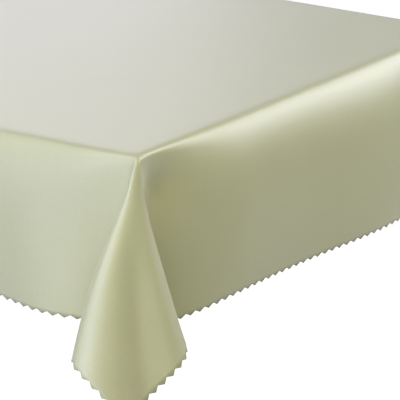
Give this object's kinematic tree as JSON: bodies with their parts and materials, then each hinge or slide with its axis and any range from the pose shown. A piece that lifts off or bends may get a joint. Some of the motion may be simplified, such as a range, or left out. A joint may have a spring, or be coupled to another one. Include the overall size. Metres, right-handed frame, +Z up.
{
  "type": "tablecloth on a table",
  "caption": "Rectangular table under a loose tablecloth with an even drop, cone-shaped folds at the corners and a zig-zag cut hem.",
  "frame": {"origin": "on the floor, under the middle of the table", "axes": "+Z up; +X along the table's long side; -Y towards the front long side"},
  "size_m": [1.4198, 1.026, 0.7525],
  "materials": {
    "cloth": "satin, wipe-clean coated weave, pale sage",
    "board": "clear lacquered",
    "steel_tube": "powder coated, fine texture",
    "joint_plastic": "moulded",
    "foot_plastic": "moulded",
    "zinc": "zinc plated"
  },
  "bodies": {
    "table": {"table_board": "board", "leg_front_right": "steel_tube", "leg_back_right": "steel_tube", "leg_back_left": "steel_tube", "leg_front_left": "steel_tube", "rail_front": "steel_tube", "rail_back": "steel_tube", "rail_left": "steel_tube", "rail_right": "steel_tube", "corner_joint_front_right": "joint_plastic", "corner_joint_back_right": "joint_plastic", "corner_joint_back_left": "joint_plastic", "corner_joint_front_left": "joint_plastic", "foot_front_right": "foot_plastic", "foot_back_right": "foot_plastic", "foot_back_left": "foot_plastic", "foot_front_left": "foot_plastic", "bracket_1": "zinc", "bracket_2": "zinc", "bracket_3": "zinc", "bracket_4": "zinc", "bracket_5": "zinc", "bracket_6": "zinc", "board_screw_1": "zinc", "board_screw_2": "zinc", "board_screw_3": "zinc", "board_screw_4": "zinc", "board_screw_5": "zinc", "board_screw_6": "zinc", "rail_screw_1": "zinc", "rail_screw_2": "zinc", "rail_screw_3": "zinc", "rail_screw_4": "zinc", "rail_screw_5": "zinc", "rail_screw_6": "zinc"},
    "tablecloth": {"tablecloth": "cloth"}
  },
  "joints": [
    {"name": "cloth_lift", "type": "slide", "parent": "table", "child": "tablecloth", "axis": [0, 0, 1], "range_m": [0, 0.4]}
  ]
}
